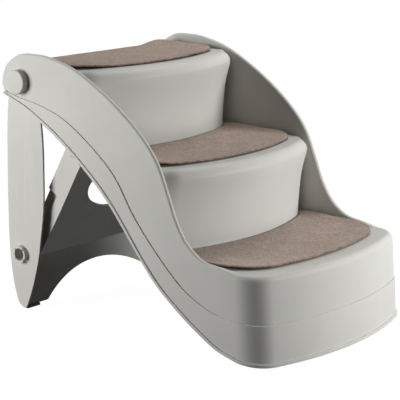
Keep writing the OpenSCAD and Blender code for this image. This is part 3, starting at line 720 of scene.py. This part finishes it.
def moulded_plastic():
    """Satin plastic: faint flow clouds, a fine spark-eroded grain and a lighter colour on sharp convex
    edges.
    """
    made, tree, shader = material("grey_plastic", PLASTIC, roughness=0.42)
    shader.inputs["Specular IOR Level"].default_value = 0.12
    flow = noise(tree, scale=9, detail=4)
    clouds = ramp(tree, flow, ((0.3, shade(PLASTIC, 0.965)), (0.7, shade(PLASTIC, 1.03))))
    edges = tree.nodes.new("ShaderNodeNewGeometry").outputs["Pointiness"]
    # Sharply convex edges, such as rims and nosings, get a lighter colour by their pointiness
    edge_lightening = ramp(tree, edges, ((0.5, grey(0)), (0.57, grey(0.35))))
    mix = node(tree, "ShaderNodeMix", {"data_type": "RGBA"})
    tree.links.new(edge_lightening, mix.inputs["Factor"])
    tree.links.new(clouds, mix.inputs[MIX_A])
    mix.inputs[MIX_B].default_value = (*shade(PLASTIC, 1.12), 1)
    tree.links.new(mix.outputs[MIX_COLOUR], shader.inputs["Base Color"])
    gloss = ramp(tree, noise(tree, scale=60, detail=3), ((0.35, grey(0.36)), (0.7, grey(0.47))))
    tree.links.new(gloss, shader.inputs["Roughness"])
    bump(tree, shader, noise(tree, scale=1400, detail=2), distance=0.00006, strength=0.6)
    return made


CARPET = (0.345, 0.25, 0.195)


def carpet():
    """Short taupe pile: heathered yarns, tufts a little over a millimetre wide and a soft sheen."""
    made, tree, shader = material("carpet", CARPET, roughness=0.92)
    shader.inputs["Sheen Weight"].default_value = 0.25
    shader.inputs["Sheen Roughness"].default_value = 0.5
    heather = noise(tree, scale=230, detail=5, roughness=0.85, stretch=(1.3, 0.65, 1))
    yarns = ramp(tree, heather, ((0.36, shade(CARPET, 0.55)), (0.5, CARPET), (0.64, shade(CARPET, 1.5))))
    spread = noise(tree, scale=38, detail=4, roughness=0.6)
    patches = ramp(tree, spread, ((0.3, (0.86, 0.85, 0.84)), (0.7, grey(1.1))))
    mix = node(tree, "ShaderNodeMix", {"data_type": "RGBA", "blend_type": "MULTIPLY"})
    mix.inputs["Factor"].default_value = 1
    tree.links.new(yarns, mix.inputs[MIX_A])
    tree.links.new(patches, mix.inputs[MIX_B])
    tree.links.new(mix.outputs[MIX_COLOUR], shader.inputs["Base Color"])
    tufts = cells(tree, scale=720, randomness=0.9)
    pile = bump(tree, shader, tufts, distance=0.0009, strength=0.8)
    bump(tree, shader, noise(tree, scale=160, detail=4), distance=0.0012, strength=0.6, over=pile)
    return made


BINDING = (0.2, 0.142, 0.108)


def binding():
    """Overlocked edge of the mats: brown thread in lighter and darker stitches."""
    made, tree, shader = material("edge_thread", BINDING, roughness=0.8)
    twist = noise(tree, scale=110, detail=5, roughness=0.7)
    threads = ramp(tree, twist, ((0.38, shade(BINDING, 0.45)), (0.62, shade(BINDING, 1.7))))
    tree.links.new(threads, shader.inputs["Base Color"])
    bump(tree, shader, noise(tree, scale=700, detail=3), distance=0.0006, strength=0.8)
    return made


# How much finer the grain of the small dark pieces is than their mottling
GRAIN_SCALE = 8


def dark_plastic(name, colour, roughness, scale):
    """Plain dark plastic or rubber: soft mottling and a fine grain."""
    made, tree, shader = material(name, colour, roughness)
    mottle = noise(tree, scale, detail=3)
    tones = ramp(tree, mottle, ((0.3, shade(colour, 0.8)), (0.7, shade(colour, 1.25))))
    tree.links.new(tones, shader.inputs["Base Color"])
    bump(tree, shader, noise(tree, scale * GRAIN_SCALE, detail=2), distance=0.0001, strength=0.5)
    return made


TAPE = (0.02, 0.02, 0.022)


def hook_tape():
    """Black hook tape: rows of fine hooks."""
    made, tree, shader = material("hook_tape", TAPE, roughness=0.75)
    hooks = cells(tree, scale=900, randomness=0.25)
    tones = ramp(tree, hooks, ((0.1, shade(TAPE, 2.2)), (0.5, shade(TAPE, 0.7))))
    tree.links.new(tones, shader.inputs["Base Color"])
    bump(tree, shader, hooks, distance=0.0005, strength=0.9)
    return made


# Pieces over the frame's solids

# Vertices closer than this, in metres, and facets flatter than this, in degrees, are merged in a copy
COPY_WELD, FLAT_ANGLE = 2e-6, 0.6
COPY_SEGMENTS, COPY_ANGLE = 3, 40


def rounded_copy(name, source, surface, body, edge):
    """The frame's solid again, with its facets merged and its edges rounded; it stands for the solid."""
    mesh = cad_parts[source].data.copy()
    bm = bmesh.new()
    bm.from_mesh(mesh)
    bmesh.ops.remove_doubles(bm, verts=bm.verts, dist=COPY_WELD)
    bmesh.ops.dissolve_limit(bm, angle_limit=radians(FLAT_ANGLE), verts=bm.verts, edges=bm.edges)
    bm.to_mesh(mesh)
    bm.free()
    obj = bpy.data.objects.new(name, mesh)
    bpy.context.scene.collection.objects.link(obj)
    finish_solid(obj, surface, edge, COPY_SEGMENTS, COPY_ANGLE)
    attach(obj, body)
    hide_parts(source)


CAP_R, CAP_OUT, PIN_R, PIN_CORE_R, CAP_EDGE_R = 23.75, 14, 11, 7, 3.2
CAP_GAP, CAP_CROWN, PIN_CHAMFER, CORE_CONE, TIP_R = 0.2, 0.7, 0.6, 1, 0.02
CAP_BEVEL = ((1.2, 0), (0.5, 0.6))
CAP_STEPS, CAP_SIDES, CAP_ANGLE = 6, 72, 50


def cap_profile(pin_end):
    """(radius, distance from the middle plane) round a hinge cap: cored pin, back, rim and crowned face."""
    back, face, flat_r = HALF_W + CAP_GAP, HALF_W + CAP_OUT, CAP_R - CAP_EDGE_R
    profile = [(PIN_CORE_R, pin_end), (PIN_R - PIN_CHAMFER, pin_end), (PIN_R, pin_end + PIN_CHAMFER)]
    profile += [(PIN_R, back)] + [(CAP_R - a, back + b) for a, b in CAP_BEVEL]
    profile.append((CAP_R, face - CAP_EDGE_R))
    for i in range(1, CAP_STEPS + 1):
        a = pi / 2 * i / CAP_STEPS
        y = face - CAP_CROWN - CAP_EDGE_R + CAP_EDGE_R * sin(a)
        profile.append((CAP_R - CAP_EDGE_R * (1 - cos(a)), y))
    for i in range(1, CAP_STEPS + 1):
        r = flat_r * (1 - i / CAP_STEPS)
        profile.append((max(r, TIP_R), face - CAP_CROWN * (r / flat_r) ** 2))
    return profile + [(TIP_R, HALF_W), (PIN_CORE_R, HALF_W - CORE_CONE)]


def hinge_caps(surface):
    """Outer caps: a slightly crowned face with a rounded edge, one piece with the cored hinge pin."""
    low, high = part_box("hinge_cap_left")
    profile = cap_profile(low.y * 1000)
    for side, word in ((1, "left"), (-1, "right")):
        rings = [
            [point(HINGE_X + u, side * y, HINGE_Z + v) for u, v in circle(r, CAP_SIDES)] for r, y in profile
        ]
        cap = closed_tube("cap_" + word, rings)
        finish_solid(cap, surface, angle=CAP_ANGLE)
        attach(cap, "stairs")
        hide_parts("hinge_cap_" + word)


# Mats: thickness, half width, how far they lie over the tread and from the riser behind, and how far the
# rear edge lifts there
MAT_T, MAT_W, MAT_LIFT, MAT_REAR_GAP, MAT_REAR_LIFT = 3.4, 210, 1.6, 5, 2.2
# Cells of a mat's grid, and the angle up to which its sides are smooth
ACROSS, ALONG, MAT_ANGLE = 110, 44, 75
ROW = ALONG + 1
# Grid lines lie partly evenly and partly closer toward the front and rear edges
EASED_SHARE, EVEN_SHARE = 0.35, 0.65
# The edges lift within their reach, by the wave and a base, and the rear edge evenly within its own
EDGE_REACH, EDGE_LIFT, EDGE_BASE, REAR_REACH = 30, 1.5, 0.25, 16
# The edge is rounded over this width down to a part of the thickness
EDGE_ROUND, EDGE_THIN = 1.6, 0.12
# The upper side is a little uneven, in shorter waves
PILE_WAVE, SHORTER_X, SHORTER_Y = 0.3, 1.7, 1.9


def wave(x, y, seed):
    """Slow waves of a carpet pad that doesn't lie quite flat, from -1 to 1."""
    return (
        sin(x / 31 + seed) * sin(y / 47 + 2 * seed)
        + 0.6 * sin(x / 17 - y / 23 + seed * 3)
        + 0.4 * sin(y / 13 + x / 41 + seed * 5)
    ) / 2


def curl(x, y, curls):
    """How far curls lift a pad's edge; each is (x, y, reach along x, reach along y, height)."""
    return sum(h * exp(-(((x - cx) / rx) ** 2) - ((y - cy) / ry) ** 2) for cx, cy, rx, ry, h in curls)


def mat_places(front, rear):
    """(x, y, distance to the nearest edge, distance to the rear edge) over a mat, row after row."""
    places = []
    for i in range(ACROSS + 1):
        y = MAT_W * sin(pi / 2 * (2 * i / ACROSS - 1))
        x0, x1 = rear(y), front(y)
        for j in range(ROW):
            eased = 0.5 - 0.5 * cos(pi * j / ALONG)
            x = x0 + (x1 - x0) * (EASED_SHARE * eased + EVEN_SHARE * j / ALONG)
            places.append((x, y, min(x - x0, x1 - x, MAT_W - abs(y)), x - x0))
    return places


def mat_vertex(place, tread_z, curls, seed, upper):
    """The point of a mat's upper or lower side over a place of the tread."""
    x, y, to_edge, to_rear = place
    near = max(0, 1 - to_edge / EDGE_REACH)
    lift = near**2 * max(0, EDGE_BASE + wave(x, y, seed)) * EDGE_LIFT + curl(x, y, curls)
    lift = max(lift, MAT_REAR_LIFT * max(0, 1 - to_rear / REAR_REACH))
    inward = min(1, to_edge / EDGE_ROUND)
    half = MAT_T / 2 * sqrt(max(EDGE_THIN, 1 - (1 - inward) ** 2))
    z = tread_z + MAT_LIFT + lift + MAT_T / 2 + (half if upper else -half)
    if upper:
        z += PILE_WAVE * wave(x * SHORTER_X, y * SHORTER_Y, seed + 1)
    return point(x, y, z)


def mat_cells():
    """The four corners of each cell of the grid, as numbers of vertices of the upper side."""
    starts = [i * ROW + j for i in range(ACROSS) for j in range(ALONG)]
    return [(k, k + ROW, k + ROW + 1, k + 1) for k in starts]


def mat_border():
    """Numbers of the upper side's vertices once round its edge."""
    border = [i * ROW for i in range(ACROSS + 1)] + [ACROSS * ROW + j for j in range(1, ROW)]
    return border + [i * ROW + ALONG for i in range(ACROSS - 1, -1, -1)] + list(range(ALONG - 1, 0, -1))


def tread_mat(name, source, tread_z, front, rear, curls, seed, cloth, thread):
    """One mat with its bound edge; front(y) and rear(y) are its outline."""
    places = mat_places(front, rear)
    vertices = [mat_vertex(p, tread_z, curls, seed, upper) for upper in (True, False) for p in places]
    under, border = len(places), mat_border()
    faces = []
    for a, b, c, d in mat_cells():
        faces.append((a, b, c, d))
        faces.append((d + under, c + under, b + under, a + under))
    for a, b in zip(border, border[1:] + border[:1]):
        faces.append((a, b, b + under, a + under))
    pad = mesh_object(name, vertices, faces)
    finish_solid(pad, cloth, angle=MAT_ANGLE)
    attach(pad, "stairs")
    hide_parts(source)
    middle = [(vertices[a] + vertices[a + under]) / 2 for a in border]
    edge = bound_edge(name + "_edge", middle, thread)
    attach(edge, "stairs")


# The thread's radius, the length of a stitch, how slim it is between stitches, and its width and height
THREAD_R, STITCH, THREAD_SIDES = 1.5, 2.2, 8
WAIST_SHARE, WIDTH_SHARE, HEIGHT_SHARE = 0.84, 0.62, 0.98


def bound_edge(name, route, thread):
    """Overlock thread round a mat's edge: a thin tube that swells at every stitch."""
    closed = route + route[:1]
    lengths = [length * 1000 for length in lengths_along(closed)]
    count = int(lengths[-1] / STITCH) * 2
    places, k = [], 0
    for i in range(count):
        at = lengths[-1] * i / count
        while lengths[k + 1] < at:
            k += 1
        places.append(closed[k].lerp(closed[k + 1], (at - lengths[k]) / (lengths[k + 1] - lengths[k])))
    up = Vector((0, 0, 1))
    rings = []
    for i, place in enumerate(places):
        ahead = (places[(i + 1) % count] - places[i - 1]).normalized()
        out = ahead.cross(up).normalized()
        radius = THREAD_R * (1 if i % 2 else WAIST_SHARE) / 1000
        ring = circle(radius, THREAD_SIDES)
        rings.append([place + out * (WIDTH_SHARE * u) + up * (HEIGHT_SHARE * v) for u, v in ring])
    obj = closed_tube(name, rings)
    obj.data.materials.append(thread)
    obj.data.polygons.foreach_set("use_smooth", [True] * len(obj.data.polygons))
    return obj


TOP_MAT_REAR_X, MAT_SIDE_ROOM = 44, 2
# The outline is a hair wider than the mat, so that its front corners end short of a sharp point
FRONT_W = MAT_W + 0.01
# Each mat: its tread's height, its front outline, the nosing over the riser behind it (the top one has
# none), its curls and the seed of its waves
MATS = {
    "bottom": (
        TREAD_BOTTOM_Z, (615, FRONT_W, 80, FRONT_ARC_R), MIDDLE_NOSE_X,
        [(430, 214, 60, 26, 6), (530, 214, 55, 26, 4.5), (545, -190, 45, 45, 3.5)], 1.3,
    ),
    "middle": (
        TREAD_MIDDLE_Z, (419, FRONT_W, 66, RISER_ARC_R), TOP_NOSE_X,
        [(225, 214, 60, 26, 6), (325, 214, 60, 26, 4), (352, -190, 36, 45, 4)], 2.9,
    ),
    "top": (
        TREAD_TOP_Z, (218, FRONT_W, 60, RISER_ARC_R), None,
        [(TOP_MAT_REAR_X, 172, 40, 42, 9), (130, 214, 60, 26, 3.5), (160, -185, 36, 45, 3.5)], 4.4,
    ),
}


def rear_outline(nose_x, tread_z):
    """The outline of a mat's rear edge, along the foot of the riser behind it."""
    foot_x = nose_x - lean_back(tread_z + RISE, tread_z) + MAT_REAR_GAP
    return foot_x, BLOCK_W + MAT_SIDE_ROOM, BLOCK_CORNER_R + MAT_REAR_GAP, RISER_ARC_R


def mats(cloth, thread):
    """The three mats on their treads."""
    for word, (tread_z, ahead, nose_x, curls, seed) in MATS.items():
        behind = rear_outline(nose_x, tread_z) if nose_x else None
        tread_mat(
            "mat_" + word, "tread_mat_" + word, tread_z,
            lambda y: edge_x(y, *ahead),
            lambda y: edge_x(y, *behind) if behind else TOP_MAT_REAR_X,
            curls, seed, cloth, thread,
        )


RUBBER, WASHER = (0.035, 0.034, 0.033), (0.07, 0.07, 0.07)


def dress():
    """Makes the visible pieces over the frame, and gives the frame's small solids their materials."""
    plastic = moulded_plastic()
    rubber = dark_plastic("foot_rubber", RUBBER, roughness=0.85, scale=120)
    washer = dark_plastic("washer_plastic", WASHER, roughness=0.45, scale=200)
    tape = hook_tape()
    cloth, thread = carpet(), binding()
    body = shell()
    body.name = "shell"
    finish_solid(body, plastic)
    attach(body, "stairs")
    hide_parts("stair_shell")
    hinge_caps(plastic)
    rounded_copy("leg", "rear_leg", plastic, "rear_leg", edge=1.1)
    rounded_copy("brace_panel", "brace", plastic, "brace", edge=0.9)
    mats(cloth, thread)
    kept = {
        "mat_grips_": tape, "hinge_washer_": washer, "hinge_retainer_": washer, "pivot_washer_": washer,
        "leg_foot_": rubber, "front_feet": rubber,
    }
    for name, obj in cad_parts.items():
        for start, surface in kept.items():
            if name.startswith(start):
                obj.data.materials.clear()
                obj.data.materials.append(surface)


dress()


# Camera and studio
FOCAL_PX, FRAME_PX, SENSOR = 1473.07, 400, 36
CAMERA_AT = point(2090.5, -2143.2, 856.1)
CAMERA_TO = Vector((-0.6239, 0.7492, -0.2225))
CLIP_NEAR, CLIP_FAR = 0.05, 50

# Metres and watts: name, place, aim, diameter, power
LAMPS = (
    ("left", (-1.0, -1.47, 0.54), (0, 0, 0.25), 1.0, 26.5),
    ("front", (1.33, 0.6, 0.42), (0, 0, 0.25), 0.9, 20),
    ("above", (-0.1, 0.5, 1.6), (0, 0, 0.3), 0.9, 11),
)
AMBIENT = 0.015
# The floor's half side in metres, its tone, and its glow, which fades to the backdrop's white
FLOOR_HALF, FLOOR_TONE, FLOOR_GLOW = 9, 0.07, 0.98
FADE_FROM, FADE_TO = 0.7, 2


def camera():
    """The camera at the place and with the focal length of the photograph's."""
    data = bpy.data.cameras.new("camera")
    data.sensor_width, data.lens = SENSOR, FOCAL_PX / FRAME_PX * SENSOR
    data.clip_start, data.clip_end = CLIP_NEAR, CLIP_FAR
    obj = bpy.data.objects.new("camera", data)
    obj.location = CAMERA_AT
    obj.rotation_euler = CAMERA_TO.to_track_quat("-Z", "Y").to_euler()
    bpy.context.scene.collection.objects.link(obj)
    bpy.context.scene.camera = obj


def lamp(name, at, aim, size, power):
    """A round soft light."""
    data = bpy.data.lights.new(name, "AREA")
    data.shape, data.size, data.energy = "DISK", size, power
    obj = bpy.data.objects.new(name, data)
    obj.location = at
    obj.rotation_euler = (Vector(aim) - Vector(at)).to_track_quat("-Z", "Y").to_euler()
    bpy.context.scene.collection.objects.link(obj)


def shown_rays(tree):
    """1 for rays that show the background: from the camera, a reflection or glass."""
    path = tree.nodes.new("ShaderNodeLightPath")
    most = path.outputs["Is Camera Ray"]
    for name in ("Is Glossy Ray", "Is Transmission Ray"):
        both = node(tree, "ShaderNodeMath", {"operation": "MAXIMUM"})
        tree.links.new(most, both.inputs[0])
        tree.links.new(path.outputs[name], both.inputs[1])
        most = both.outputs[0]
    return most


def shown_or_not(tree, plain, shown, output):
    """Gives the output one shader for light and another for rays that show the background."""
    mix = tree.nodes.new("ShaderNodeMixShader")
    tree.links.new(shown_rays(tree), mix.inputs["Fac"])
    tree.links.new(plain.outputs[0], mix.inputs[1])
    tree.links.new(shown.outputs[0], mix.inputs[2])
    tree.links.new(mix.outputs[0], tree.nodes[output].inputs["Surface"])


def white_world():
    """A faint ambient light, seen as white."""
    world = bpy.data.worlds.new("studio")
    world.use_nodes = True
    tree = world.node_tree
    soft = tree.nodes["Background"]
    soft.inputs["Color"].default_value = WHITE
    soft.inputs["Strength"].default_value = AMBIENT
    white = node(tree, "ShaderNodeBackground", Color=WHITE, Strength=1)
    shown_or_not(tree, soft, white, "World Output")
    bpy.context.scene.world = world


def floor_material():
    """A matt floor that keeps the shadow, and to the camera is lifted to the white of the backdrop."""
    made, tree, shader = material("floor", grey(FLOOR_TONE), roughness=0.9)
    shader.inputs["Specular IOR Level"].default_value = 0
    glow = node(tree, "ShaderNodeEmission", Color=WHITE)
    away = node(tree, "ShaderNodeVectorMath", {"operation": "LENGTH"})
    tree.links.new(coordinates(tree), away.inputs[0])
    fade = node(
        tree, "ShaderNodeMapRange", From_Min=FADE_FROM, From_Max=FADE_TO, To_Min=FLOOR_GLOW, To_Max=1
    )
    tree.links.new(away.outputs["Value"], fade.inputs["Value"])
    tree.links.new(fade.outputs["Result"], glow.inputs["Strength"])
    both = tree.nodes.new("ShaderNodeAddShader")
    tree.links.new(shader.outputs[0], both.inputs[0])
    tree.links.new(glow.outputs[0], both.inputs[1])
    shown_or_not(tree, shader, both, "Material Output")
    return made


def studio():
    """White surroundings, a floor that shows as white under the shadow, and three soft lights."""
    bpy.context.scene.view_settings.view_transform = "Standard"
    white_world()
    corners = [(x * FLOOR_HALF, y * FLOOR_HALF, 0) for x, y in ((-1, -1), (1, -1), (1, 1), (-1, 1))]
    floor = mesh_object("floor", corners, [(0, 1, 2, 3)])
    floor.data.materials.append(floor_material())
    for row in LAMPS:
        lamp(*row)


camera()
studio()
